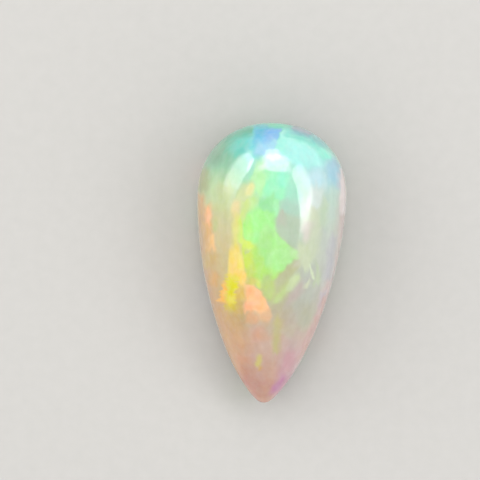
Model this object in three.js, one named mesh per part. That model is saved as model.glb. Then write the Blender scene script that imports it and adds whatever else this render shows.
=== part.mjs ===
// A precious opal cabochon: one long, pear-shaped stone with a high dome, lying on its flat polished back.
// Millimetres. +Y runs to the round head, -Y to the tip, +X across, +Z up out of the dome.
// The origin is on the flat back, under the middle of the stone's length and width.
import * as THREE from 'three';
import { mergeVertices } from 'three/addons/utils/BufferGeometryUtils.js';

// Driving dimensions, in millimetres. "Along" is measured from the stone's widest place towards its tip.
const HALF_WIDTH = 5.0; // at the widest place
const HEAD_LENGTH = 5.0; // from the widest place to the round end
const FLANK_LENGTH = 13.82; // from the widest place to where the two flanks would meet in a point
const TIP_BLEND = 0.25; // how far before that point the rounded tip begins
const DOME_HEIGHT = 5.0; // of the dome over the girdle, at the widest place
const GIRDLE_TOP = 1.4; // of the girdle's upper edge over the flat back
const GIRDLE_BAND = 0.35; // the upright band that a setting's wall would hold
const BACK_INSET = 0.85; // how far the flat back stays inside the girdle at the head

// Shape of the outline. Each is a power in the curves below.
const HEAD_FULLNESS = 2.173; // 2 is a plain ellipse, and more is squarer
const FLANK_START = 1.738; // how late the flanks begin to lean in
const FLANK_END = 0.6933; // how bluntly they meet

// How finely the faceted skin follows the curves
const HEAD_STEPS = 16;
const FLANK_STEPS = 34;
const TIP_STEPS = 5;
const DOME_STEPS = 24; // across the dome, from one side of the girdle to the other
const BEVEL_STEPS = 5; // around the rounded edge under the girdle

// Milky body and its play of colour, taken together as the eye does from a step away, under a high polish
const OPAL_COLOUR = '#cdd9b4';
const POLISH_ROUGHNESS = 0.06;

const QUARTER_TURN = Math.PI / 2;

// Half the width between the two leaning flanks, before the tip is rounded
function flankHalfWidth(along) {
  return HALF_WIDTH * (1 - (along / FLANK_LENGTH) ** FLANK_START) ** FLANK_END;
}

// The circle that rounds the tip: its centre is on the centre line, and it touches both flanks at start
function tipCircle() {
  const start = FLANK_LENGTH - TIP_BLEND;
  const halfWidth = flankHalfWidth(start);
  const share = (start / FLANK_LENGTH) ** FLANK_START;
  const slope = (-halfWidth * FLANK_END * FLANK_START * share) / (start * (1 - share));
  const centre = start + halfWidth * slope;
  const radius = Math.hypot(start - centre, halfWidth);
  return { start, centre, radius };
}

// The places along the stone where a slice is taken, with its half width there, from head to tip
function outlineStations() {
  const stations = [];
  for (let i = 0; i < HEAD_STEPS; i++) {
    const reach = Math.cos((i / HEAD_STEPS) * QUARTER_TURN);
    const halfWidth = HALF_WIDTH * (1 - reach ** HEAD_FULLNESS) ** (1 / HEAD_FULLNESS);
    stations.push({ along: -HEAD_LENGTH * reach, halfWidth });
  }
  const tip = tipCircle();
  for (let i = 0; i < FLANK_STEPS; i++) {
    const along = (i / FLANK_STEPS) * tip.start;
    stations.push({ along, halfWidth: flankHalfWidth(along) });
  }
  const startAngle = Math.acos((tip.start - tip.centre) / tip.radius);
  for (let i = 0; i <= TIP_STEPS; i++) {
    const angle = startAngle * (1 - i / TIP_STEPS);
    stations.push({
      along: tip.centre + tip.radius * Math.cos(angle),
      halfWidth: tip.radius * Math.sin(angle),
    });
  }
  return stations;
}

// The rounded edge under the girdle, from the flat back up to the band: the outline drawn in by a scale
// towards the middle of the head, which keeps the edge nearly even along the flanks
function bevelRings() {
  const rings = [];
  for (let i = 0; i <= BEVEL_STEPS; i++) {
    const angle = (i / BEVEL_STEPS) * QUARTER_TURN;
    const inset = BACK_INSET * (1 - Math.sin(angle));
    const height = (GIRDLE_TOP - GIRDLE_BAND) * (1 - Math.cos(angle));
    rings.push({ scale: 1 - inset / HALF_WIDTH, height });
  }
  return rings;
}

// One slice of the stone: up its right side, over the dome, and down its left side to the flat back
function slicePoints({ along, halfWidth }, centreY) {
  const rightEdge = bevelRings().map(({ scale, height }) => [
    halfWidth * scale,
    centreY - along * scale,
    height,
  ]);
  const leftEdge = rightEdge.map(([x, y, z]) => [-x, y, z]).reverse();
  const rise = (halfWidth * DOME_HEIGHT) / HALF_WIDTH;
  const arch = [];
  for (let i = 0; i <= DOME_STEPS; i++) {
    const angle = (i / DOME_STEPS) * 2 * QUARTER_TURN;
    arch.push([
      halfWidth * Math.cos(angle),
      centreY - along,
      GIRDLE_TOP + rise * Math.sin(angle),
    ]);
  }
  return [...rightEdge, ...arch, ...leftEdge];
}

// Welds the slices' doubled points, and drops the triangles that the weld shrinks to a line
function weld(geometry) {
  const welded = mergeVertices(geometry);
  const corners = welded.getIndex().array;
  const kept = [];
  for (let i = 0; i < corners.length; i += 3) {
    const [a, b, c] = corners.slice(i, i + 3);
    if (a !== b && b !== c && c !== a) {
      kept.push(a, b, c);
    }
  }
  welded.setIndex(kept);
  welded.computeVertexNormals();
  return welded;
}

// The stone's skin, closed all round: neighbouring slices are joined strip by strip, the flat back included,
// and the first and last slices fold shut into the head's end and the tip's end
function cabochonGeometry() {
  const stations = outlineStations();
  const centreY = (stations[stations.length - 1].along - HEAD_LENGTH) / 2;
  const slices = stations.map((station) => slicePoints(station, centreY));
  const around = slices[0].length;
  const faces = [];
  for (let i = 0; i < slices.length - 1; i++) {
    for (let j = 0; j < around; j++) {
      const next = (j + 1) % around;
      const here = i * around;
      const beyond = here + around;
      faces.push(here + j, here + next, beyond + next);
      faces.push(here + j, beyond + next, beyond + j);
    }
  }
  const geometry = new THREE.BufferGeometry();
  geometry.setAttribute('position', new THREE.Float32BufferAttribute(slices.flat(2), 3));
  geometry.setIndex(faces);
  return weld(geometry);
}

function cabochon() {
  const opal = new THREE.MeshStandardMaterial({
    color: OPAL_COLOUR,
    roughness: POLISH_ROUGHNESS,
    metalness: 0,
  });
  const stone = new THREE.Mesh(cabochonGeometry(), opal);
  stone.name = 'cabochon';
  return stone;
}

const part = new THREE.Group();
part.add(cabochon());

export default part;
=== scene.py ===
# %% [markdown]
# # A precious opal cabochon
# The object is one polished opal: a long pear-shaped dome on a flat back, milky and translucent, with
# patches of pure colour that seem to lie just under its skin. This lesson cuts the stone the way a lapidary
# does, from a rough form to a dome, a girdle and a back. Then it gives it the opal's body and its play of
# colour, and sets it on a plain floor under soft light.

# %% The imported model
import math

import bmesh
import bpy
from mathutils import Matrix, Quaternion, Vector


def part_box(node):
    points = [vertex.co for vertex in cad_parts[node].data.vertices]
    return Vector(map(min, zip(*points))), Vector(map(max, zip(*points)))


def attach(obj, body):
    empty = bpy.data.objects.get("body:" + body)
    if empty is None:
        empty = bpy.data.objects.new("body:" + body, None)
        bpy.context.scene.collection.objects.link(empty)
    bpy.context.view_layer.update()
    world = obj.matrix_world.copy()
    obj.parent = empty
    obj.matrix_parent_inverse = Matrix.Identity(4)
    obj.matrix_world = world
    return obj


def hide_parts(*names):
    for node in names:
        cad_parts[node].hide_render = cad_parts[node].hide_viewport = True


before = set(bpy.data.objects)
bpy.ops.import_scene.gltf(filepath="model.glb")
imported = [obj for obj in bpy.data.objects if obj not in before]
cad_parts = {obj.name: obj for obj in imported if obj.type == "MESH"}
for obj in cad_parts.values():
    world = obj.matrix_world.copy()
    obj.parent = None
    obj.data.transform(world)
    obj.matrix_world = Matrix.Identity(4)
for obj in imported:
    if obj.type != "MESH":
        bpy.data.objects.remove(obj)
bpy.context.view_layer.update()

stone_low, stone_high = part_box("cabochon")
print("solid:", [round(1000 * side, 3) for side in stone_high - stone_low], "mm")

# %% [markdown]
# ## Measures
# A gem this small is easiest to think of in millimetres, while Blender's unit here is the metre, so one
# name turns one into the other. The stone's width, length and height are read from the solid's box. What a
# box cannot say, such as how high the dome is and how full the curves are, is written here by name.

# %% Measures of the stone
MM = 0.001
hair = 0.001 * MM  # too short to see, and used to tell places apart

half_width = (stone_high.x - stone_low.x) / 2
stone_length = stone_high.y - stone_low.y
dome_height = 5.0 * MM
girdle_top = stone_high.z - dome_height
girdle_band = 0.35 * MM
back_inset = 0.85 * MM

head_length = 5.0 * MM
flank_length = 13.82 * MM
tip_blend = 0.25 * MM
head_fullness = 2.173
flank_start = 1.738
flank_end = 0.6933

tip_reach = stone_length - head_length
widest_y = stone_high.y - head_length
print("girdle at", round(girdle_top / MM, 2), "mm, widest place at y", round(widest_y / MM, 2), "mm")

# %% [markdown]
# ## The outline
# Seen from above, the stone is a round head that runs without a corner into two long leaning flanks, and
# they meet in a small round tip. One function gives half the width at any place along the stone, counted
# from the widest place, negative towards the head. A power curve is used because it bends as slowly as a
# hand-ground flank does, which a circle or a straight line would not.

# %% Half the width along the stone
def flank_half_width(along):
    return half_width * (1 - (along / flank_length) ** flank_start) ** flank_end


tip_start = flank_length - tip_blend
tip_start_width = flank_half_width(tip_start)
tip_share = (tip_start / flank_length) ** flank_start
tip_slope = -tip_start_width * flank_end * flank_start * tip_share / (tip_start * (1 - tip_share))
tip_centre = tip_start + tip_start_width * tip_slope
tip_radius = math.hypot(tip_start - tip_centre, tip_start_width)


def outline_half_width(along):
    if along < 0:
        return half_width * (1 - (-along / head_length) ** head_fullness) ** (1 / head_fullness)
    if along < tip_start:
        return flank_half_width(along)
    return math.sqrt(max(0, tip_radius ** 2 - (along - tip_centre) ** 2))


print("tip radius", round(tip_radius / MM, 2), "mm")

# %% [markdown]
# ## The rough ball
# The dome is round in every slice across the stone, so a ball is the right start: a sphere with its poles
# at the head and at the tip already has its rings where the slices go. It is added with its axis along Y,
# and the half towards the tip is drawn out to the tip's reach. The work is done around the widest place and
# moved to its real place at the end.

# %% A ball drawn out towards the tip
def select_vertices(mesh, wanted):
    """Selects, in edit mode, the vertices for which wanted is true and the faces wholly between them."""
    shape = bmesh.from_edit_mesh(mesh)
    for vertex in shape.verts:
        vertex.select = wanted(vertex)
    shape.select_flush_mode()
    bmesh.update_edit_mesh(mesh, loop_triangles=False, destructive=False)


around_steps = 160
ring_steps = 128
bpy.ops.object.select_all(action="DESELECT")
bpy.ops.mesh.primitive_uv_sphere_add(
    segments=around_steps, ring_count=ring_steps, radius=head_length, rotation=(-math.pi / 2, 0, 0)
)
stone = bpy.context.object
stone.name = stone.data.name = "opal_stone"
bpy.ops.object.transform_apply(location=False, rotation=True, scale=False)

bpy.ops.object.mode_set(mode="EDIT")
bpy.ops.mesh.select_mode(type="VERT")
select_vertices(stone.data, lambda vertex: vertex.co.y < -hair)
bpy.ops.transform.resize(value=(1, tip_reach / head_length, 1), center_override=(0, 0, 0))
print("ball drawn out to", round(tip_reach / MM, 2), "mm")

# %% [markdown]
# ## Grinding the flanks
# Each ring of the ball is now brought to the width that the outline has there, as a lapidary turns the
# stone against the wheel. The rings are found once by their place along Y, then taken one at a time and
# resized across the stone only. The two poles are rings of no width and stay where they are.

# %% Each ring brought to the outline
def place_along(vertex):
    """A vertex's place along Y in mm, rounded so that all vertices of one ring share it."""
    return round(vertex.co.y / MM, 4)


ring_radii = {}
for vertex in bmesh.from_edit_mesh(stone.data).verts:
    ring_radii.setdefault(place_along(vertex), Vector((vertex.co.x, vertex.co.z)).length)

rings = {place: radius for place, radius in ring_radii.items() if radius > hair}
for place, radius in rings.items():
    select_vertices(stone.data, lambda vertex: place_along(vertex) == place)
    wider = outline_half_width(-place * MM) / radius
    bpy.ops.transform.resize(value=(wider, 1, wider), center_override=(0, place * MM, 0))
print(len(rings), "rings shaped")

# %% [markdown]
# ## Dome, girdle and back
# The lower half is cut away at the girdle, as a cabochon is sawn flat, and the cut is filled with one face.
# That face is then extruded down: first a short upright band for a setting to hold, then a quarter-round
# edge, drawn in a little further with each step, and at last the flat back. A small inset keeps the back's
# shading flat up to its edge.

# %% The cut at the girdle
bpy.ops.mesh.select_all(action="SELECT")
bpy.ops.mesh.bisect(
    plane_co=(0, 0, 0), plane_no=(0, 0, 1), use_fill=True, clear_inner=True, threshold=hair
)
bpy.ops.mesh.select_all(action="SELECT")
bpy.ops.transform.resize(value=(1, 1, dome_height / half_width), center_override=(0, 0, 0))
bpy.ops.mesh.select_mode(type="FACE")


def select_flat_base(mesh):
    """Selects the one face that closes the stone below, and gives its height."""
    shape = bmesh.from_edit_mesh(mesh)
    base = min(shape.faces, key=lambda face: (round(face.normal.z, 3), face.calc_center_median().z))
    for face in shape.faces:
        face.select = face is base
    shape.select_flush_mode()
    bmesh.update_edit_mesh(mesh)
    return base.calc_center_median().z


base_height = select_flat_base(stone.data)
print("cut face at", round(base_height / MM, 4), "mm")

# %% Band, rounded edge and back
bevel_steps = 9
back_rim = 0.12 * MM
bevel_height = girdle_top - girdle_band
below = [(girdle_band, 0.0)]
for step in range(1, bevel_steps + 1):
    angle = step / bevel_steps * math.pi / 2
    below.append((girdle_band + bevel_height * math.sin(angle), back_inset * (1 - math.cos(angle))))

reached, drawn_in = 0.0, 0.0
for depth, inset in below:
    bpy.ops.mesh.extrude_region_move(TRANSFORM_OT_translate={"value": (0, 0, reached - depth)})
    shrink = (half_width - inset) / (half_width - drawn_in)
    bpy.ops.transform.resize(value=(shrink, shrink, 1), center_override=(0, 0, -depth))
    reached, drawn_in = depth, inset
bpy.ops.mesh.inset(thickness=back_rim)
print(len(below), "steps down to the back")

# %% The stone in its place
bpy.ops.mesh.select_all(action="SELECT")
bpy.ops.transform.translate(value=(0, widest_y, girdle_top))
bpy.ops.mesh.remove_doubles(threshold=hair / 2)
bpy.ops.mesh.normals_make_consistent(inside=False)
bpy.ops.object.mode_set(mode="OBJECT")
bpy.ops.object.shade_smooth()
print(len(stone.data.vertices), "vertices,", len(stone.data.polygons), "faces")

# %% [markdown]
# ## Colour and nodes
# Colours are written as hex values, the way a colour card gives them, and Blender's nodes want the amount
# of light, so one function turns them. A second one adds a node: its settings by name, and each of its
# inputs as either a plain value or another node's output.

# %% Two helpers
def paint(hex_colour):
    """The linear colour, with alpha, of an sRGB hex value."""
    channels = [int(hex_colour[i:i + 2], 16) / 255 for i in (1, 3, 5)]
    return [c / 12.92 if c <= 0.04045 else ((c + 0.055) / 1.055) ** 2.4 for c in channels] + [1.0]


def add(tree, kind, inputs, **settings):
    """Adds a node. Each input is keyed by its socket's name or by its number."""
    node = tree.nodes.new(kind)
    for name, value in settings.items():
        setattr(node, name, value)
    for socket, value in inputs.items():
        if isinstance(value, bpy.types.NodeSocket):
            tree.links.new(value, node.inputs[socket])
        else:
            node.inputs[socket].default_value = value
    return node


# %% [markdown]
# ## Opal
# Precious opal is silica spheres about 0.0002 mm across, stacked in regular layers and set in more silica.
# The layers split white light into pure colours, in patches a few tenths of a millimetre to five millimetres
# wide, and a milky body shows between them. The colour is made in the stone, not on it, so it could be
# sheets of colour under a clear skin. One solid body with a patterned base colour is simpler, and it keeps
# its look in an exported model. Light that wanders a little under the surface gives the milkiness.
#
# Every pattern reads the place on the stone in millimetres. Three bent copies of that place make the
# borders natural: one wanders gently, one is pulled into brush strokes along the stone, and one is combed
# across it.

# %% Places on the stone
opal = bpy.data.materials.new("precious_opal_polished")
opal.use_nodes = True
tree = opal.node_tree
where = add(tree, "ShaderNodeTexCoord", {})
in_millimetres = {0: where.outputs["Object"], 1: (1 / MM,) * 3}
spot = add(tree, "ShaderNodeVectorMath", in_millimetres, operation="MULTIPLY").outputs[0]


def bend(place, waves_per_mm, reach):
    """Shifts each place by a noise, so that straight borders wander. The reach is in mm along each axis."""
    stretched = add(tree, "ShaderNodeVectorMath", {0: place, 1: waves_per_mm}, operation="MULTIPLY")
    noise = add(tree, "ShaderNodeTexNoise", {"Vector": stretched.outputs[0], "Scale": 1.0, "Detail": 1.5})
    middle = (0.5, 0.5, 0.5)
    shift = add(tree, "ShaderNodeVectorMath", {0: noise.outputs["Color"], 1: middle}, operation="SUBTRACT")
    moved = {0: shift.outputs[0], 1: reach, 2: place}
    return add(tree, "ShaderNodeVectorMath", moved, operation="MULTIPLY_ADD").outputs[0]


gentle = bend(spot, (1.8, 1.4, 1.4), (0.4, 0.4, 0.3))
brushed = bend(gentle, (3.2, 0.8, 0.8), (0.15, 1.0, 0.0))
combed = bend(gentle, (0.8, 5.5, 0.8), (0.8, 0.12, 0.0))
print("places bent with", len(tree.nodes), "nodes")

# %% [markdown]
# ## The milky body
# Under the flashes the body runs from blue-green at the head, through pale beige and grey, to a warm tan at
# the tip. The tan is partly the stone's own tone, as milky silica scatters blue light and lets orange light
# through, and partly painted light: a warm glow of light shining through the stone from behind. The left side
# is warmer than the right. Three colour ramps along the stone, for its left, middle and right, are laid one
# over the other by how far across the stone a place lies, counted in shares of the stone's width there.

# %% Shares along and across the stone
gentle_x, gentle_y = add(tree, "ShaderNodeSeparateXYZ", {"Vector": gentle}).outputs[:2]
tip_y, head_y = stone_low.y / MM, stone_high.y / MM
whole_length = {"Value": gentle_y, "From Min": tip_y, "From Max": head_y}
along = add(tree, "ShaderNodeMapRange", whole_length).outputs["Result"]

# Half the width that the shares are counted in, in mm. It is even down to lean_in_y, and from there it
# narrows less than the stone does, so that the ramps' borders do not crowd at the tip
lean_in_y = 1.2
narrow, wide = 1.5, 4.9
narrowing = {"Value": gentle_y, "From Min": tip_y, "From Max": lean_in_y, "To Min": narrow, "To Max": wide}
width_here = add(tree, "ShaderNodeMapRange", narrowing).outputs["Result"]
across = add(tree, "ShaderNodeMath", {0: gentle_x, 1: width_here}, operation="DIVIDE").outputs[0]
print("ramps run from y", round(tip_y, 2), "to", round(head_y, 2), "mm")

# %% Soft steps between colours
# A soft step needs no clamp, and the renderer has room for many more of them without one
soft_step = {"interpolation_type": "SMOOTHSTEP", "clamp": False}


def glaze(below, above, value, start, end):
    """Lays one colour over another, thicker and thicker while the value goes from start to end."""
    limits = {"Value": value, "From Min": start, "From Max": end}
    cover = add(tree, "ShaderNodeMapRange", limits, **soft_step).outputs["Result"]
    return add(tree, "ShaderNodeMix", {0: cover, 6: below, 7: above}, data_type="RGBA").outputs[2]


# %% Body colour
# The tan and pink stops at the tip end, low y, are partly the stone's own warm tone and partly painted warm
# glow
left_body_and_glow = [
    (-8.0, "#AC786A"), (-6.6, "#B78A6E"), (-5.0, "#BC9672"), (-3.4, "#B29766"), (-0.5, "#B8A879"),
    (1.0, "#BAAF84"), (2.2, "#BBB58C"), (3.6, "#B5BB8B"), (5.0, "#A6BE94"), (6.2, "#82B292"),
    (8.3, "#4E9E80"),
]
middle_body_and_glow = [
    (-8.2, "#AE8274"), (-6.8, "#B29384"), (-5.0, "#B79D8C"), (-3.0, "#AAA288"), (-1.0, "#A8B27A"),
    (2.5, "#A7B6A0"), (5.2, "#94D0B2"), (7.5, "#98D4CA"), (8.9, "#5AC4AC"),
]
right_body_and_glow = [
    (-8.0, "#AE8490"), (-6.0, "#B09492"), (-4.2, "#AE9F90"), (-2.4, "#A7A699"), (-1.0, "#A9ABA2"),
    (2.0, "#ACB5A8"), (4.6, "#A4BCB0"), (6.4, "#9AC8CC"), (7.6, "#84C8BA"), (8.6, "#70B4B4"),
]
ramps = []
for stops in (left_body_and_glow, middle_body_and_glow, right_body_and_glow):
    ramp = add(tree, "ShaderNodeValToRGB", {"Fac": along})
    marks = ramp.color_ramp.elements
    for y, hex_colour in stops:
        marks.new((y - tip_y) / (head_y - tip_y)).color = paint(hex_colour)
    marks.remove(marks[0])
    marks.remove(marks[-1])
    ramps.append(ramp.outputs["Color"])
left_ramp, middle_ramp, right_ramp = ramps
left_to_middle = glaze(left_ramp, middle_ramp, across, -0.65, -0.2)
plain_body = glaze(left_to_middle, right_ramp, across, 0.15, 0.55)
print(len(left_body_and_glow + middle_body_and_glow + right_body_and_glow), "colours along the body")

# %% Painted rim light at the dome's edges
# Seen from above, the edge of the dome is painted warm on the left and pink on the right, up to the shoulders
# of the head. Both are painted light: on the left a warm glow of light shining through the edge from behind,
# on the right a pink painted reflection along the rim. The steep sides keep the plain body
shoulder_y = 3.0
body = plain_body
for side, start, faded_y, hex_colour in ((-1, 0.65, 4.0, "#B99064"), (1, 0.8, 6.0, "#C0A5A2")):
    painted_rim_light = glaze(paint(hex_colour), body, gentle_y, shoulder_y, faded_y)
    outwards = add(tree, "ShaderNodeMath", {0: across, 1: side}, operation="MULTIPLY").outputs[0]
    body = glaze(body, painted_rim_light, outwards, start, 1.0)
print("body and edges:", len(tree.nodes), "nodes")

# %% [markdown]
# ## Grains of colour
# Each flash is one grain of the sphere stack, grown against its neighbours as crystals do. A Voronoi pattern
# in space has just that form: rounded cells that meet in thin seams. Chance gives each cell one pure hue, and
# lets some cells stay nearly milky. The cells show on the sides and the back, and only a breath of them lies
# under the listed flashes of the dome.

# %% Cells about two millimetres wide
cells_per_mm = 0.5
cell_place = bend(spot, (0.8, 0.5, 0.8), (1.6, 2.4, 1.6))
grid = {"Vector": cell_place, "Scale": cells_per_mm, "Randomness": 1.0}
cells = add(tree, "ShaderNodeTexVoronoi", grid)
seams = add(tree, "ShaderNodeTexVoronoi", grid, feature="DISTANCE_TO_EDGE")
chance = add(tree, "ShaderNodeSeparateColor", {"Color": cells.outputs["Color"]})
hues = add(tree, "ShaderNodeValToRGB", {"Fac": chance.outputs["Red"]})
hues.color_ramp.interpolation = "CONSTANT"
cell_hues = ["#7CCDBE", "#8ED69A", "#BFD96A", "#A6DCA0", "#E6C86A", "#F0B284", "#A9A6CC", "#7FB2D2"]
marks = hues.color_ramp.elements
after_own_mark = 0.01  # keeps the new marks behind the ramp's own first one, which is then removed
for i, hex_colour in enumerate(cell_hues):
    marks.new((i + after_own_mark) / len(cell_hues)).color = paint(hex_colour)
marks.remove(marks[0])
marks.remove(marks[-1])
print(len(cell_hues), "hues in cells", 1 / cells_per_mm, "mm wide")

# %% Cells in the milky body
# The seam is a share of a cell's width. A second chance says how strongly each cell shows its hue
seam = 0.18
grains = glaze(plain_body, hues.outputs["Color"], seams.outputs["Distance"], 0.0, seam)
grains = glaze(plain_body, grains, chance.outputs["Green"], 0.1, 1.1)
milkiness = 0.3
milky = {0: milkiness, 6: grains, 7: paint("#CCC8B8")}
side_colour = add(tree, "ShaderNodeMix", milky, data_type="RGBA").outputs[2]
breath_of_cells = 0.08
under_flashes = {0: breath_of_cells, 6: body, 7: side_colour}
colour = add(tree, "ShaderNodeMix", under_flashes, data_type="RGBA").outputs[2]
print("body and cells:", len(tree.nodes), "nodes")

# %% [markdown]
# ## Flashes of the dome
# The large flashes are laid one over another, as a painter glazes. A flash is a patch between straight
# sides, because the stacks end in flat planes. Each side has its own fade, since a flash that lies at a
# slant ends sharply where it meets the surface and softly where it dips.

# %% One flash
def flash(below, hex_colour, corners, fades, place=gentle):
    """A patch of colour over what is below. Corners are (x, y) in mm, anticlockwise, and the patch bulges
    outwards at each. Fades are the widths in mm of its borders: one for all, or one for each side, the first
    from the first corner to the second."""
    if not isinstance(fades, tuple):
        fades = (fades,) * len(corners)
    cover = 1.0
    for i, corner in enumerate(corners):
        start = Vector(corner)
        side = (Vector(corners[(i + 1) % len(corners)]) - start).normalized()
        inward = Vector((-side.y, side.x))
        depth = add(tree, "ShaderNodeVectorMath", {0: place, 1: (*inward, 0.0)}, operation="DOT_PRODUCT")
        border = start.dot(inward)
        limits = {0: depth.outputs["Value"], 1: border - fades[i] / 2, 2: border + fades[i] / 2}
        step = add(tree, "ShaderNodeMapRange", limits, **soft_step).outputs["Result"]
        cover = add(tree, "ShaderNodeMath", {0: cover, 1: step}, operation="MULTIPLY").outputs[0]
    return add(tree, "ShaderNodeMix", {0: cover, 6: below, 7: paint(hex_colour)}, data_type="RGBA").outputs[2]


# %% [markdown]
# ## The head
# The smallest spheres send back blue and larger ones green, so the blue grains sit beside aqua and mint ones
# here. The blue flash ends on its right in one clean line, where its stack ends, and melts away at its left.

# %% Olive and teal at the head's left
# The darker olive along the left shoulder's edge is partly the stone's own olive and partly painted shade at
# the rim
colour = flash(colour, "#949A6C", [(-5.2, 4.3), (-4.4, 4.3), (-4.1, 5.4), (-4.4, 6.2), (-5.2, 6.2)], 0.9)
colour = flash(colour, "#C09C68", [(-5.2, 3.1), (-4.45, 3.1), (-4.35, 4.0), (-4.6, 4.4), (-5.2, 4.4)], 0.5)
colour = flash(colour, "#749A80", [(-4.3, 6.2), (-3.4, 6.3), (-3.2, 7.4), (-3.9, 7.6)], 1.0)
colour = flash(colour, "#4CA68A", [(-3.1, 7.9), (-1.5, 7.6), (-1.3, 8.9), (-2.6, 8.7)], (1.0, 0.5, 0.6, 1.0))
colour = flash(colour, "#66BEB0", [(-3.0, 7.0), (-1.8, 6.8), (-1.6, 8.2), (-2.6, 8.1)], (0.8, 0.5, 0.8, 1.0))
print("left of the head:", len(tree.nodes), "nodes")

# %% Aqua and the blue flash
colour = flash(colour, "#72C6C6", [(-1.8, 6.8), (-1.05, 6.5), (-1.2, 8.6), (-1.8, 8.1)], 0.5)
colour = flash(
    colour, "#58B0CA", [(-1.4, 7.6), (-0.6, 7.5), (-0.2, 9.0), (-1.35, 9.0)], (0.7, 0.6, 0.25, 0.4)
)
colour = flash(
    colour, "#70ACD8", [(-0.9, 7.5), (0.0, 7.5), (0.45, 8.85), (-0.6, 8.85)], (0.6, 0.25, 0.4, 0.6)
)
colour = flash(colour, "#82B0D6", [(-0.5, 7.7), (0.0, 7.7), (0.2, 8.3), (-0.4, 8.3)], (0.5, 0.25, 0.5, 0.5))
colour = flash(colour, "#9AC6D8", [(-1.3, 6.8), (-0.1, 6.8), (0.0, 7.75), (-1.2, 7.85)], (0.4, 0.3, 0.7, 0.5))
colour = flash(colour, "#9FCCD8", [(-0.3, 7.5), (0.25, 7.45), (0.35, 7.9), (-0.15, 8.1)], 0.4)
colour = flash(colour, "#46B6BE", [(-1.4, 8.65), (-0.3, 8.75), (-0.6, 9.1), (-1.3, 9.0)], 0.35)
colour = flash(colour, "#92CCC4", [(-2.0, 6.7), (-1.4, 6.6), (-1.35, 7.2), (-1.9, 7.4)], 0.4)
print("blue flash:", len(tree.nodes), "nodes")

# %% Aqua and mint right of the blue
colour = flash(
    colour, "#9EDDD0", [(-0.1, 7.2), (1.0, 6.6), (2.6, 7.8), (1.2, 8.6), (0.5, 8.7)],
    (0.4, 0.6, 0.5, 0.4, 0.25),
)
# This aqua flash is partly its own colour and partly painted glow: it is made lighter where it lies between
# the reflections of the head
colour = flash(
    colour, "#A3DCD4", [(0.5, 7.3), (1.0, 6.4), (2.0, 6.1), (3.2, 6.3), (3.0, 7.2), (2.2, 7.7), (0.9, 7.9)],
    (0.5, 0.6, 0.6, 0.5, 0.5, 0.35, 0.4),
)
colour = flash(
    colour, "#7BCDBE", [(0.55, 8.2), (1.3, 8.0), (3.0, 7.45), (3.0, 8.0), (1.8, 8.5), (0.6, 8.8)],
    (0.3, 0.4, 0.4, 0.4, 0.5, 0.3),
)
colour = flash(
    colour, "#8ADCC8", [(2.6, 7.3), (3.3, 6.8), (3.8, 7.0), (3.5, 7.5), (2.8, 7.75)],
    (0.4, 0.3, 0.3, 0.3, 0.5),
)
print("aqua and mint:", len(tree.nodes), "nodes")

# %% The head's outer edge and right shoulder
colour = flash(colour, "#72ADB4", [(0.9, 8.6), (2.3, 8.3), (2.4, 8.65), (1.2, 9.05)], 0.4)
colour = flash(colour, "#8C9CA8", [(1.1, 8.8), (2.2, 8.45), (2.4, 8.7), (1.3, 9.2)], 0.3)
colour = flash(colour, "#70B6B6", [(2.3, 8.1), (3.2, 7.65), (3.5, 7.9), (2.6, 8.5)], 0.5)
colour = flash(colour, "#57CAA6", [(-0.4, 8.85), (0.7, 8.8), (0.8, 9.2), (-0.4, 9.2)], 0.3)
colour = flash(colour, "#B0CED2", [(2.0, 5.1), (3.4, 4.9), (3.4, 6.1), (2.2, 6.2)], 0.9)
colour = flash(
    colour, "#90B8C6", [(3.45, 5.4), (4.4, 5.2), (4.4, 6.6), (3.9, 7.1), (3.45, 6.6)],
    (0.9, 0.4, 0.4, 0.4, 0.5),
)
colour = flash(colour, "#A2AEB6", [(4.15, 5.0), (4.7, 5.0), (4.7, 6.2), (4.3, 6.2)], 0.5)
# The pale pink band along the far right edge is a painted highlight, a pink reflection along the rim
colour = flash(colour, "#CEC2C0", [(4.45, 3.4), (5.2, 3.4), (5.2, 6.5), (4.35, 6.5)], 0.4)
print("edge of the head:", len(tree.nodes), "nodes")

# %% [markdown]
# ## The right side
# Here the play of colour is weak, and pale grey, beige and lavender lie side by side in long soft strokes
# along the stone, where thin sheets of silica come up to the surface at a slant.

# %% Pale zones of the right side
colour = flash(
    colour, "#B8C0A8", [(1.7, 0.2), (2.9, 0.0), (3.25, 2.0), (3.2, 3.6), (2.4, 4.0), (1.8, 2.2)], 0.7, brushed
)
colour = flash(colour, "#BFCAC4", [(2.3, 3.6), (3.2, 3.6), (3.3, 5.0), (2.4, 5.2)], 0.6, brushed)
# A painted highlight: the pale tail below the right reflection, where it fades out
colour = flash(colour, "#C0BCB2", [(1.6, 1.5), (2.4, 1.5), (2.6, 2.8), (1.7, 2.8)], 0.6)
colour = flash(colour, "#AEBEA6", [(2.95, 2.6), (3.5, 2.6), (3.6, 4.3), (3.1, 4.3)], 0.5, brushed)
colour = flash(colour, "#A9AAAC", [(3.5, -1.0), (4.1, -1.0), (4.3, 1.8), (3.8, 2.1)], 0.6, brushed)
colour = flash(colour, "#ABB79A", [(2.8, -1.3), (3.3, -1.2), (3.3, -0.3), (2.95, 0.1)], 0.4, brushed)
colour = flash(colour, "#A2A28E", [(1.9, -4.0), (2.8, -4.2), (3.1, -2.8), (2.2, -2.4)], 0.9)
colour = flash(colour, "#AAA6AA", [(3.2, -3.4), (3.6, -3.2), (3.85, -1.8), (3.4, -1.8)], 0.4, brushed)
print("right side:", len(tree.nodes), "nodes")

# %% [markdown]
# ## The middle
# One large green grain fills the middle of the stone, its heart. Above it lies a mint zone, and a milky
# grey-green notch cuts in from the right. The heart is laid in several overlapping lobes, as its hue drifts
# across it from yellow-green to pure green while its outer line stays sharp.

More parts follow.
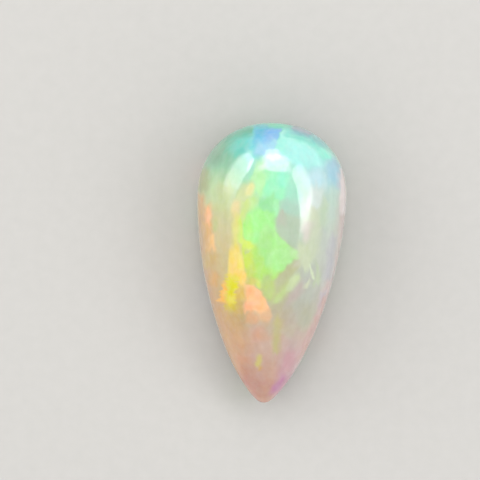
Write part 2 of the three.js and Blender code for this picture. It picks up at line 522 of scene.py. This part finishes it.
# %% Mint above the middle
colour = flash(
    colour, "#96D9B0", [(-0.9, 4.3), (0.5, 4.0), (1.3, 4.4), (1.3, 5.6), (0.7, 6.3), (-0.8, 6.2)],
    (0.6, 0.5, 0.6, 0.4, 0.4, 0.5),
)
colour = flash(
    colour, "#9BCDB6", [(0.7, 3.7), (1.7, 3.5), (1.85, 4.6), (1.3, 6.0), (0.95, 6.1)],
    (0.5, 0.3, 0.3, 0.3, 0.5),
)
colour = flash(colour, "#94D9BC", [(0.2, 4.9), (0.85, 4.9), (0.85, 6.0), (0.3, 6.0)], 0.5)
colour = flash(
    colour, "#ABD7A0", [(-1.5, 4.4), (-0.8, 4.1), (-0.5, 5.0), (-0.5, 6.1), (-1.2, 6.2), (-1.55, 5.3)],
    (0.4, 0.6, 0.6, 0.5, 0.4, 0.5), brushed,
)
colour = flash(colour, "#B2D8B2", [(-1.25, 5.9), (-0.5, 5.9), (-0.5, 6.6), (-1.2, 6.6)], 0.5)
colour = flash(colour, "#AED8CA", [(0.65, 5.8), (1.1, 5.8), (1.1, 6.5), (0.7, 6.5)], 0.4)
print("mint zone:", len(tree.nodes), "nodes")

# %% Grey-green notch beside the heart
colour = flash(colour, "#A2C0AE", [(0.4, 3.0), (1.8, 2.8), (1.8, 4.0), (0.6, 4.1)], 0.7)
colour = flash(
    colour, "#A8B7A2", [(0.0, 2.3), (1.3, 1.2), (2.0, 1.2), (1.9, 3.0), (0.2, 3.4)], (0.3, 0.4, 0.5, 0.5, 0.3)
)
colour = flash(colour, "#AAAF9E", [(0.25, 2.4), (0.8, 2.4), (0.9, 3.1), (0.4, 3.3)], 0.5, brushed)
print("notch:", len(tree.nodes), "nodes")

# %% The heart's upper lobe
# Darker at its top, with a bright streak on its right and a yellow-green left border
colour = flash(colour, "#B4D090", [(-1.8, 3.3), (-1.0, 3.3), (-0.9, 4.3), (-1.6, 4.4)], 0.6)
colour = flash(
    colour, "#92CC96", [(-1.1, 3.0), (0.05, 2.8), (0.35, 3.7), (0.1, 4.3), (-0.6, 4.4), (-1.1, 3.8)],
    (0.6, 0.25, 0.25, 0.6, 0.6, 0.7), brushed,
)
colour = flash(colour, "#A4D9AA", [(0.0, 2.9), (0.25, 3.0), (0.45, 3.8), (0.3, 4.2), (0.05, 4.0)], 0.3)
colour = flash(
    colour, "#9DD789", [(-1.7, 1.2), (-1.2, 0.9), (0.4, 1.0), (0.1, 3.2), (-0.9, 3.6), (-1.85, 3.1)],
    (0.4, 0.5, 0.5, 0.25, 0.7, 0.35),
)
colour = flash(
    colour, "#A0D67A", [(-1.9, 1.7), (-1.3, 1.3), (-1.2, 2.0), (-1.4, 3.0), (-1.8, 3.0)], 0.4, brushed
)
print("upper lobe of the heart:", len(tree.nodes), "nodes")

# %% The heart's lower lobe
# Its yellow-green left side, its bright right corner and its low tip
colour = flash(
    colour, "#A5CB6C",
    [(-1.05, -1.25), (-0.4, -1.3), (0.5, -0.85), (1.1, 0.1), (-0.2, 1.3), (-1.1, 1.2), (-1.4, 0.0)],
    (0.25, 0.4, 0.25, 0.5, 0.5, 0.35, 0.4),
)
colour = flash(
    colour, "#A2D38B",
    [
        (-0.5, 0.1), (0.4, -0.8), (1.0, -0.25), (1.85, 0.35), (1.85, 0.7), (1.1, 1.35),
        (0.4, 1.97), (-0.35, 2.65), (-0.9, 1.6),
    ],
    (0.8, 0.35, 0.45, 0.3, 0.2, 0.3, 0.3, 0.5, 0.6),
)
colour = flash(
    colour, "#9DCD82", [(-0.8, 0.6), (-0.2, 0.2), (0.1, 1.0), (0.1, 2.1), (-0.6, 2.0)], 0.6, brushed
)
colour = flash(colour, "#A9CF92", [(1.3, 0.4), (1.6, 0.3), (1.9, 0.5), (1.8, 0.9), (1.3, 1.1)], 0.3)
colour = flash(colour, "#A4B876", [(-0.5, -1.3), (0.0, -1.2), (0.1, -0.7), (-0.35, -0.6)], 0.4)
colour = flash(
    colour, "#C0CC6E", [(-0.85, -1.55), (-0.55, -1.6), (-0.45, -1.2), (-0.7, -1.0), (-0.95, -1.1)], 0.35
)
print("lower lobe of the heart:", len(tree.nodes), "nodes")

# %% [markdown]
# ## Gold, yellow-green and peach
# The largest spheres send back yellow, orange and red, and they lie on the left of the heart. The gold strip
# has one straight edge. Below it a yellow-green flash is combed out to the left, as fibres of wood show in
# opal that replaced them, so its place is bent by waves that are short along the stone and long across it.
# A peach tongue curves down from there.

# %% Olive and yellow-green left of the heart
colour = flash(
    colour, "#B0BC8C", [(-3.6, 3.9), (-2.8, 3.8), (-2.5, 4.6), (-3.0, 5.1), (-3.6, 4.9)], 0.6, brushed
)
colour = flash(colour, "#BFC898", [(-2.5, 3.6), (-1.6, 3.6), (-1.3, 5.2), (-1.8, 5.2), (-2.4, 4.4)], 0.6)
colour = flash(colour, "#D0CF96", [(-1.8, 4.35), (-1.35, 4.3), (-1.2, 4.9), (-1.4, 5.1), (-1.7, 4.85)], 0.3)
colour = flash(colour, "#D2C28E", [(-2.65, 2.8), (-2.2, 2.8), (-2.0, 3.6), (-2.2, 4.0), (-2.55, 3.9)], 0.5)
colour = flash(
    colour, "#BECE84", [(-2.1, 2.8), (-1.75, 2.8), (-1.5, 3.6), (-1.6, 4.0), (-2.0, 3.9)], 0.4, brushed
)
colour = flash(colour, "#CDC97E", [(-2.55, 0.8), (-2.1, 0.8), (-1.95, 3.0), (-2.45, 3.2)], 0.45)
colour = flash(
    colour, "#BED270", [(-2.15, 1.2), (-1.75, 1.2), (-1.8, 2.0), (-1.9, 3.0), (-2.1, 2.8)], 0.35, brushed
)
colour = flash(colour, "#C0D066", [(-2.0, 0.8), (-1.2, 0.8), (-1.0, 1.1), (-1.4, 1.4), (-1.9, 1.6)], 0.35)
colour = flash(colour, "#B4C464", [(-1.7, -0.9), (-1.0, -1.0), (-0.9, -0.1), (-1.5, 0.2)], 0.5)
colour = flash(
    colour, "#B9CB5A", [(-1.8, -0.1), (-1.2, -0.3), (-1.05, 0.5), (-1.3, 0.9), (-1.95, 0.8)], 0.4, brushed
)
print("olive and yellow-green:", len(tree.nodes), "nodes")

# %% The gold strip
colour = flash(
    colour, "#D9C46A", [(-2.7, -1.1), (-1.6, -1.2), (-1.6, -0.6), (-1.9, 0.65), (-2.1, 1.15), (-2.68, 0.8)],
    (0.5, 0.3, 0.35, 0.4, 0.7, 0.2), spot,
)
colour = flash(colour, "#DDC06E", [(-2.6, -1.0), (-1.95, -1.0), (-1.9, 0.1), (-2.55, 0.1)], 0.5)
colour = flash(colour, "#DACE6A", [(-2.15, -0.4), (-1.7, -0.4), (-1.85, 0.4), (-2.05, 0.7)], 0.4, brushed)
colour = flash(colour, "#C1BA62", [(-1.45, -1.55), (-0.95, -1.6), (-0.8, -1.0), (-1.3, -0.85)], 0.45)
colour = flash(colour, "#DEBE69", [(-2.05, -1.6), (-1.45, -1.7), (-1.5, -0.7), (-1.9, -0.5)], 0.35)
print("gold strip:", len(tree.nodes), "nodes")

# %% Yellow-green and orange, combed out
colour = flash(colour, "#BBA068", [(-2.3, -3.4), (-1.6, -3.4), (-1.6, -2.3), (-2.2, -2.3)], 0.5)
colour = flash(colour, "#C6AC66", [(-2.3, -2.5), (-1.5, -2.5), (-1.5, -1.6), (-2.2, -1.3)], 0.4)
colour = flash(colour, "#BFAC46", [(-2.95, -3.2), (-2.1, -3.2), (-2.05, -2.4), (-2.8, -2.4)], 0.5, combed)
colour = flash(
    colour, "#DFAB4C", [(-3.2, -2.7), (-2.7, -2.7), (-2.65, -1.2), (-3.1, -1.4)],
    (0.4, 0.4, 0.4, 0.25), combed,
)
colour = flash(
    colour, "#D2C542", [(-2.8, -2.7), (-2.2, -2.7), (-2.05, -1.6), (-2.1, -0.8), (-2.7, -0.8)],
    (0.6, 0.4, 0.35, 0.5, 0.4), combed,
)
colour = flash(colour, "#CBC730", [(-2.6, -2.1), (-2.2, -2.1), (-2.2, -1.2), (-2.6, -1.1)], 0.35, combed)
print("combed patch:", len(tree.nodes), "nodes")

# %% The peach tongue
colour = flash(colour, "#C69E7A", [(-1.5, -3.8), (-0.7, -3.9), (-0.5, -3.3), (-1.3, -3.1)], 0.5)
colour = flash(
    colour, "#CBA680", [(-0.7, -3.4), (-0.15, -3.9), (0.15, -3.7), (0.1, -2.8), (-0.6, -2.8)],
    (0.6, 0.5, 0.3, 0.4, 0.6),
)
colour = flash(
    colour, "#E2B080",
    [(-1.45, -2.9), (-0.8, -3.15), (-0.15, -3.0), (0.0, -2.75), (-0.25, -2.1), (-0.75, -1.6), (-1.5, -1.35)],
    (0.5, 0.6, 0.35, 0.2, 0.2, 0.25, 0.45),
)
colour = flash(
    colour, "#E0A87C", [(-1.65, -3.1), (-0.95, -3.2), (-0.7, -2.7), (-1.2, -2.4), (-1.6, -2.6)], 0.4, brushed
)
colour = flash(colour, "#E4B082", [(-1.0, -2.3), (-0.5, -2.8), (-0.3, -2.4), (-0.8, -1.8)], 0.4)
print("peach tongue:", len(tree.nodes), "nodes")

# %% [markdown]
# ## Towards the tip
# Below the heart the colours weaken. Milky brown, green and grey lie in slanting strokes, a few small dashes
# of peach stand at the left edge, and the tip is plain tan with a touch of green and of violet. The tan comes
# from the body, and like it is partly painted warm glow.

# %% Strokes below the heart
colour = flash(colour, "#ABBB77", [(-0.4, -2.0), (0.1, -2.4), (0.35, -1.8), (0.25, -1.0), (-0.5, -1.2)], 0.45)
colour = flash(
    colour, "#AAAB89", [(0.4, -1.6), (1.6, -0.5), (1.95, 0.1), (1.6, 0.35), (0.4, -0.8)],
    (0.5, 0.3, 0.3, 0.3, 0.4),
)
colour = flash(colour, "#B1B09A", [(1.4, -0.2), (1.9, 0.0), (1.9, 0.3), (1.6, 0.3)], 0.35)
colour = flash(colour, "#AFA49B", [(1.0, -2.8), (1.8, -2.3), (2.3, -1.4), (2.0, -1.0), (1.1, -2.1)], 0.6)
colour = flash(colour, "#B0BF86", [(0.25, -2.55), (0.7, -2.4), (1.35, -1.55), (1.1, -1.2), (0.3, -2.1)], 0.35)
colour = flash(colour, "#B6C39A", [(1.0, -1.6), (1.4, -1.65), (2.0, -0.9), (1.8, -0.5), (1.2, -1.0)], 0.35)
colour = flash(colour, "#B8C1A4", [(1.7, 0.3), (2.2, -0.4), (2.6, 0.0), (2.4, 1.2), (1.7, 1.5)], 0.4, brushed)
colour = flash(colour, "#C6D2B0", [(2.7, -0.9), (2.84, -0.95), (2.6, -0.05), (2.47, 0.05)], 0.18)
colour = flash(colour, "#BEC3A8", [(2.2, -1.5), (2.6, -1.4), (2.6, -1.0), (2.3, -1.0)], 0.3, brushed)
print("strokes:", len(tree.nodes), "nodes")

# %% Peach dashes near the left edge
colour = flash(colour, "#CAA26A", [(-4.2, 0.4), (-3.8, 0.5), (-3.9, 2.6), (-4.4, 2.6)], 0.5, brushed)
colour = flash(
    colour, "#E2AC7E", [(-4.3, 2.4), (-4.05, 2.2), (-3.9, 3.0), (-4.0, 3.7), (-4.35, 3.5)], 0.35, brushed
)
colour = flash(colour, "#DAB074", [(-3.95, 0.8), (-3.6, 0.7), (-3.65, 1.5), (-3.95, 1.9)], 0.35, brushed)
colour = flash(colour, "#AEB27A", [(-3.85, 2.0), (-3.5, 1.8), (-3.5, 2.6), (-3.7, 2.8)], 0.4, brushed)
colour = flash(colour, "#BAA068", [(-4.4, -0.5), (-3.55, -0.5), (-3.5, 0.5), (-4.4, 0.5)], 0.6)
colour = flash(colour, "#C4985C", [(-3.8, -1.6), (-3.4, -1.6), (-3.3, -0.8), (-3.7, -0.6)], 0.5)
print("dashes:", len(tree.nodes), "nodes")

# %% Weak colours of the tip
colour = flash(colour, "#BF967E", [(-1.0, -5.1), (-0.1, -5.0), (-0.1, -4.1), (-0.9, -4.0)], 0.9)
colour = flash(colour, "#AEA67A", [(0.35, -5.7), (0.8, -5.8), (0.9, -3.5), (0.4, -3.3)], 0.4, brushed)
colour = flash(colour, "#B9AC68", [(-0.72, -6.8), (-0.32, -6.8), (-0.28, -6.0), (-0.6, -5.9)], 0.35)
colour = flash(colour, "#B99A6C", [(-0.45, -7.1), (-0.2, -7.05), (-0.15, -6.7), (-0.4, -6.7)], 0.25)
colour = flash(colour, "#B7948C", [(2.1, -6.2), (3.2, -6.2), (4.4, -2.0), (3.65, -2.0)], 0.6)
colour = flash(
    colour, "#B48C90", [(1.0, -7.1), (1.6, -7.0), (2.0, -6.1), (1.8, -5.6), (1.3, -5.8)], 0.6, brushed
)
colour = flash(colour, "#A87290", [(0.45, -8.7), (0.9, -8.5), (1.45, -7.6), (1.2, -7.3), (0.55, -8.15)], 0.5)
print("tip:", len(tree.nodes), "nodes")

# %% [markdown]
# ## Sides, back and fine play
# The flashes above are placed as seen from the top, so they end where the dome turns steep, and the cells
# take over. Then everything gets the fine life of a real stone: streaks along it, and small wanderings of
# hue and brightness a few tenths of a millimetre wide.

# %% From the dome to the sides
# The normal's height is 0 where the side stands upright and 1 on top of the dome
all_dome = 0.28
facing = add(tree, "ShaderNodeSeparateXYZ", {"Vector": where.outputs["Normal"]})
colour = glaze(side_colour, colour, facing.outputs["Z"], 0.0, all_dome)

# %% Streaks and fine wanderings
streak_waves_per_mm = (1.6, 0.2, 1.6)
streak_place = add(tree, "ShaderNodeVectorMath", {0: spot, 1: streak_waves_per_mm}, operation="MULTIPLY")
streaks = add(tree, "ShaderNodeTexNoise", {"Vector": streak_place.outputs[0], "Scale": 1.0, "Detail": 1.0})
fine_waves_per_mm = (2.6, 1.8, 2.6)
fine_place = add(tree, "ShaderNodeVectorMath", {0: gentle, 1: fine_waves_per_mm}, operation="MULTIPLY")
fine = add(tree, "ShaderNodeTexNoise", {"Vector": fine_place.outputs[0], "Scale": 1.0, "Detail": 3.0})
fine_parts = add(tree, "ShaderNodeSeparateColor", {"Color": fine.outputs["Color"]}).outputs
summed = {0: streaks.outputs["Fac"], 1: fine_parts["Red"]}
light_and_dark = add(tree, "ShaderNodeMath", summed, operation="ADD")

# Each noise keeps to the middle of its range, and that part is turned into the range that is wanted
wanderings = {
    "Hue": (fine_parts["Green"], 0.3, 0.7, 0.495, 0.505),
    "Saturation": (fine_parts["Blue"], 0.3, 0.7, 0.92, 1.08),
    "Value": (light_and_dark.outputs[0], 0.7, 1.3, 0.95, 1.05),
    "Roughness": (fine.outputs["Fac"], 0.3, 0.7, 0.08, 0.14),
}
sockets = ("Value", "From Min", "From Max", "To Min", "To Max")
wandered = {}
for name, limits in wanderings.items():
    wandered[name] = add(tree, "ShaderNodeMapRange", dict(zip(sockets, limits))).outputs["Result"]
roughness = wandered.pop("Roughness")
played = add(tree, "ShaderNodeHueSaturation", {"Color": colour, **wandered})
print(", ".join(wanderings), "wander a little")

# %% [markdown]
# ## The opal's shader
# The polish is glassy, with an index of about 1.45. A clear coat gives the crisp reflections, and a slightly
# rough base under it gives the faint halo around them. The polish is never perfectly flat: a hand-polished
# dome has faint waves a millimetre or two long, which make the reflections wander at their borders. Light
# enters the milky body and comes out again some tenths of a millimetre away.

# %% Polish and milkiness
shader = tree.nodes["Principled BSDF"]
tree.links.new(played.outputs["Color"], shader.inputs["Base Color"])
tree.links.new(roughness, shader.inputs["Roughness"])
polish_waves_per_mm = 0.55
polish_wave_height = 0.03 * MM
waves = add(tree, "ShaderNodeTexNoise", {"Vector": spot, "Scale": polish_waves_per_mm, "Detail": 1.0})
bumps = {"Height": waves.outputs["Fac"], "Strength": 1.0, "Distance": polish_wave_height}
surface = add(tree, "ShaderNodeBump", bumps)
tree.links.new(surface.outputs["Normal"], shader.inputs["Normal"])
tree.links.new(surface.outputs["Normal"], shader.inputs["Coat Normal"])
shader.inputs["IOR"].default_value = 1.45
shader.inputs["Specular IOR Level"].default_value = 0.8
shader.inputs["Coat Weight"].default_value = 1.0
shader.inputs["Coat Roughness"].default_value = 0.03
shader.inputs["Coat IOR"].default_value = 1.5
shader.inputs["Subsurface Weight"].default_value = 0.8
shader.inputs["Subsurface Radius"].default_value = (1.0, 0.9, 0.8)
shader.inputs["Subsurface Scale"].default_value = 0.35 * MM
stone.data.materials.append(opal)
print(len(tree.nodes), "nodes in the opal")

# %% [markdown]
# ## Floor
# The floor is a sheet of matte paper, a little below the back so that the two never share a face. Real
# fibres are far too fine to show here, so they are drawn as a faint unevenness nearly a millimetre wide,
# which keeps the sheet from looking like a void.

# %% Pale paper floor
floor_side = 500 * MM
floor_gap = 0.01 * MM
bpy.ops.object.select_all(action="DESELECT")
bpy.ops.mesh.primitive_plane_add(size=floor_side, location=(0, 0, -floor_gap))
floor = bpy.context.object
floor.name = floor.data.name = "floor"
paper = bpy.data.materials.new("matte_paper")
paper.use_nodes = True
sheet = paper.node_tree
ground = add(sheet, "ShaderNodeTexCoord", {})
fibre_width = 0.8 * MM
fibre_relief = 0.02 * MM
fibre_pattern = {"Vector": ground.outputs["Object"], "Scale": 1 / fibre_width, "Detail": 4.0}
fibres = add(sheet, "ShaderNodeTexNoise", fibre_pattern)
tones = {0: fibres.outputs["Fac"], 6: paint("#AFADA9"), 7: paint("#B5B3AF")}
tone = add(sheet, "ShaderNodeMix", tones, data_type="RGBA")
fibre_bumps = {"Height": fibres.outputs["Fac"], "Strength": 0.3, "Distance": fibre_relief}
tooth = add(sheet, "ShaderNodeBump", fibre_bumps)
sheet_shader = sheet.nodes["Principled BSDF"]
sheet.links.new(tone.outputs[2], sheet_shader.inputs["Base Color"])
sheet.links.new(tooth.outputs["Normal"], sheet_shader.inputs["Normal"])
sheet_shader.inputs["Roughness"].default_value = 0.9
floor.data.materials.append(paper)
bpy.ops.object.transform_apply(location=True, rotation=False, scale=False)
print("floor", round(floor_side / MM), "mm wide")

# %% [markdown]
# ## Light
# The polish shows the lights as clear shapes, so each softbox is placed by where its reflection has to lie
# on the dome: a long one low on the left, a tall one behind the head, and a long one on the right. Each is
# given by its direction from the stone and by how wide and high it looks from there. The cloth of a softbox
# is brightest where its lamp is, so the light fades towards some of its edges, and a smaller cloth laid over
# a large one gives the bright band that such a lamp throws.

# %% Softboxes
light_distance = 150 * MM
highlight_centre = Vector((0, widest_y, girdle_top + dome_height))


def softbox(
    name, azimuth, elevation, width, height, radiance, fades, shape="RECTANGLE", roll=0, in_polish=True
):
    """Azimuth is counted from +X towards +Y. Width and height are angles seen from the stone, in degrees, and
    so is the roll, which lifts the edge on the larger azimuth. Radiance is the light from each bit of cloth
    that isn't faded. Fades are the shares of the cloth over which it dies away: at the smaller and at the
    larger azimuth, then at the low and at the high edge."""
    turn, lift = math.radians(azimuth), math.radians(elevation)
    away = Vector((math.cos(turn) * math.cos(lift), math.sin(turn) * math.cos(lift), math.sin(lift)))
    lamp = bpy.data.lights.new(name, "AREA")
    lamp.shape = shape
    lamp.size = 2 * light_distance * math.tan(math.radians(width / 2))
    lamp.size_y = 2 * light_distance * math.tan(math.radians(height / 2))
    area = lamp.size * lamp.size_y * (math.pi / 4 if shape == "ELLIPSE" else 1)
    lamp.energy = radiance * math.pi * area
    lamp.use_nodes = True
    cloth = lamp.node_tree
    lit_place = add(cloth, "ShaderNodeNewGeometry", {}).outputs["Parametric"]
    on_cloth = add(cloth, "ShaderNodeSeparateXYZ", {"Vector": lit_place}).outputs
    glow = 1.0
    for axis, low_fade, high_fade in (("X", fades[0], fades[1]), ("Y", fades[2], fades[3])):
        for edge, full in ((0.0, low_fade), (1.0, 1.0 - high_fade)):
            limits = {0: on_cloth[axis], 1: edge, 2: full}
            step = add(cloth, "ShaderNodeMapRange", limits, interpolation_type="SMOOTHSTEP").outputs[0]
            glow = add(cloth, "ShaderNodeMath", {0: glow, 1: step}, operation="MULTIPLY").outputs[0]
    cloth.links.new(glow, cloth.nodes["Emission"].inputs["Strength"])
    holder = bpy.data.objects.new(name, lamp)
    holder.location = highlight_centre + away * light_distance
    rolled = away.to_track_quat("Z", "Y") @ Quaternion((0, 0, 1), math.radians(roll))
    holder.rotation_euler = rolled.to_euler()
    holder.visible_camera = False
    holder.visible_glossy = in_polish
    bpy.context.scene.collection.objects.link(holder)
    print(name, round(lamp.size / MM), "x", round(lamp.size_y / MM), "mm")


softbox("left_softbox", 153.5, 22, 64, 35, 2.4, (0.05, 0.35, 0.3, 0.04), "ELLIPSE", roll=-3)
softbox("left_strip", 134, 32.5, 28, 10, 3.8, (0.25, 0.5, 0.8, 0.1), roll=30)
softbox("back_softbox", 85, 42.5, 45, 33, 3.3, (0.25, 0.3, 0.2, 0.08), "ELLIPSE")
softbox("back_lower", 91, 30, 23, 26, 3.0, (0.2, 0.3, 0.2, 0.3), "ELLIPSE", roll=10)
softbox("back_strip", 118, 47.5, 22, 10, 1.9, (0.05, 0.5, 0.5, 0.3))
softbox("right_softbox", 19, 36.5, 56, 35, 3.0, (0.25, 0.1, 0.5, 0.05), "ELLIPSE", roll=2)
softbox("right_strip", -6, 36, 19, 21, 3.0, (0.5, 0.6, 0.5, 0.15), roll=20)

# %% [markdown]
# ## Fill
# The sides of the stone get their light from the bright surroundings of a studio. Three large faint cloths,
# in front and to either side, stand for them. They light the milky body but are hidden from the polish,
# which would otherwise show them as more bright shapes.

# %% Fill lights
open_cloth = (0.1, 0.1, 0.1, 0.1)
softbox("front_fill", 265, 30, 90, 40, 1.5, open_cloth, in_polish=False)
softbox("left_fill", 195, 30, 70, 40, 1.9, open_cloth, in_polish=False)
softbox("right_fill", -25, 25, 70, 40, 1.9, open_cloth, in_polish=False)

# %% [markdown]
# ## Room
# The room is about as bright as the floor near the horizon, so that the polish shows no hard line where the
# two meet, and a little darker from 30 degrees up, where the lights' reflections should stand clear.

# %% Pale room
world = bpy.data.worlds.new("pale_room")
world.use_nodes = True
room = world.node_tree
direction = add(room, "ShaderNodeTexCoord", {}).outputs["Generated"]
upwards = add(room, "ShaderNodeSeparateXYZ", {"Vector": direction}).outputs["Z"]
at_horizon, overhead = 0.6, 0.5
high = math.sin(math.radians(30))
darkening = {"Value": upwards, "From Min": 0.0, "From Max": high, "To Min": at_horizon, "To Max": overhead}
walls = add(room, "ShaderNodeMapRange", darkening, interpolation_type="SMOOTHSTEP")
room.nodes["Background"].inputs["Color"].default_value = paint("#F4F5F7")
room.links.new(walls.outputs["Result"], room.nodes["Background"].inputs["Strength"])
bpy.context.scene.world = world
print("room brightness from", at_horizon, "to", overhead)

# %% [markdown]
# ## Camera
# The photograph looks straight at the dome, so the camera looks straight down on the stone where it lies.
# One scale ties the picture to the stone: at the girdle's height one millimetre covers nearly 15 pixels of
# a picture 480 pixels wide. The head pixel is where the middle of the head falls in it, a little right of the
# picture's own middle. The stone leans by 0.04 radians, a little over two degrees.

# %% Camera over the stone
picture_side = 480
pixels_per_mm = 14.958
head_pixel = Vector((271.7, 197.5))
lean = 0.04

lens = bpy.data.cameras.new("camera")
lens.lens = 100
lens.sensor_width = 36
camera_height = picture_side / pixels_per_mm * MM * lens.lens / lens.sensor_width
lens.clip_start = 5 * MM
lens.clip_end = 5.0
right = Vector((math.cos(lean), math.sin(lean), 0))
up = Vector((-math.sin(lean), math.cos(lean), 0))
offset = (head_pixel - Vector((picture_side / 2, picture_side / 2))) / pixels_per_mm * MM
camera = bpy.data.objects.new("camera", lens)
camera.location = Vector((0, widest_y, girdle_top + camera_height)) - right * offset.x + up * offset.y
camera.rotation_euler = (0, 0, lean)
bpy.context.scene.collection.objects.link(camera)
bpy.context.scene.camera = camera
bpy.context.scene.view_settings.view_transform = "Standard"
print("camera", round(camera_height / MM, 1), "mm over the girdle")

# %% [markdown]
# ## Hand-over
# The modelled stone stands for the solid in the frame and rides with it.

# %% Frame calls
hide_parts("cabochon")
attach(stone, "root")

bpy.context.view_layer.update()
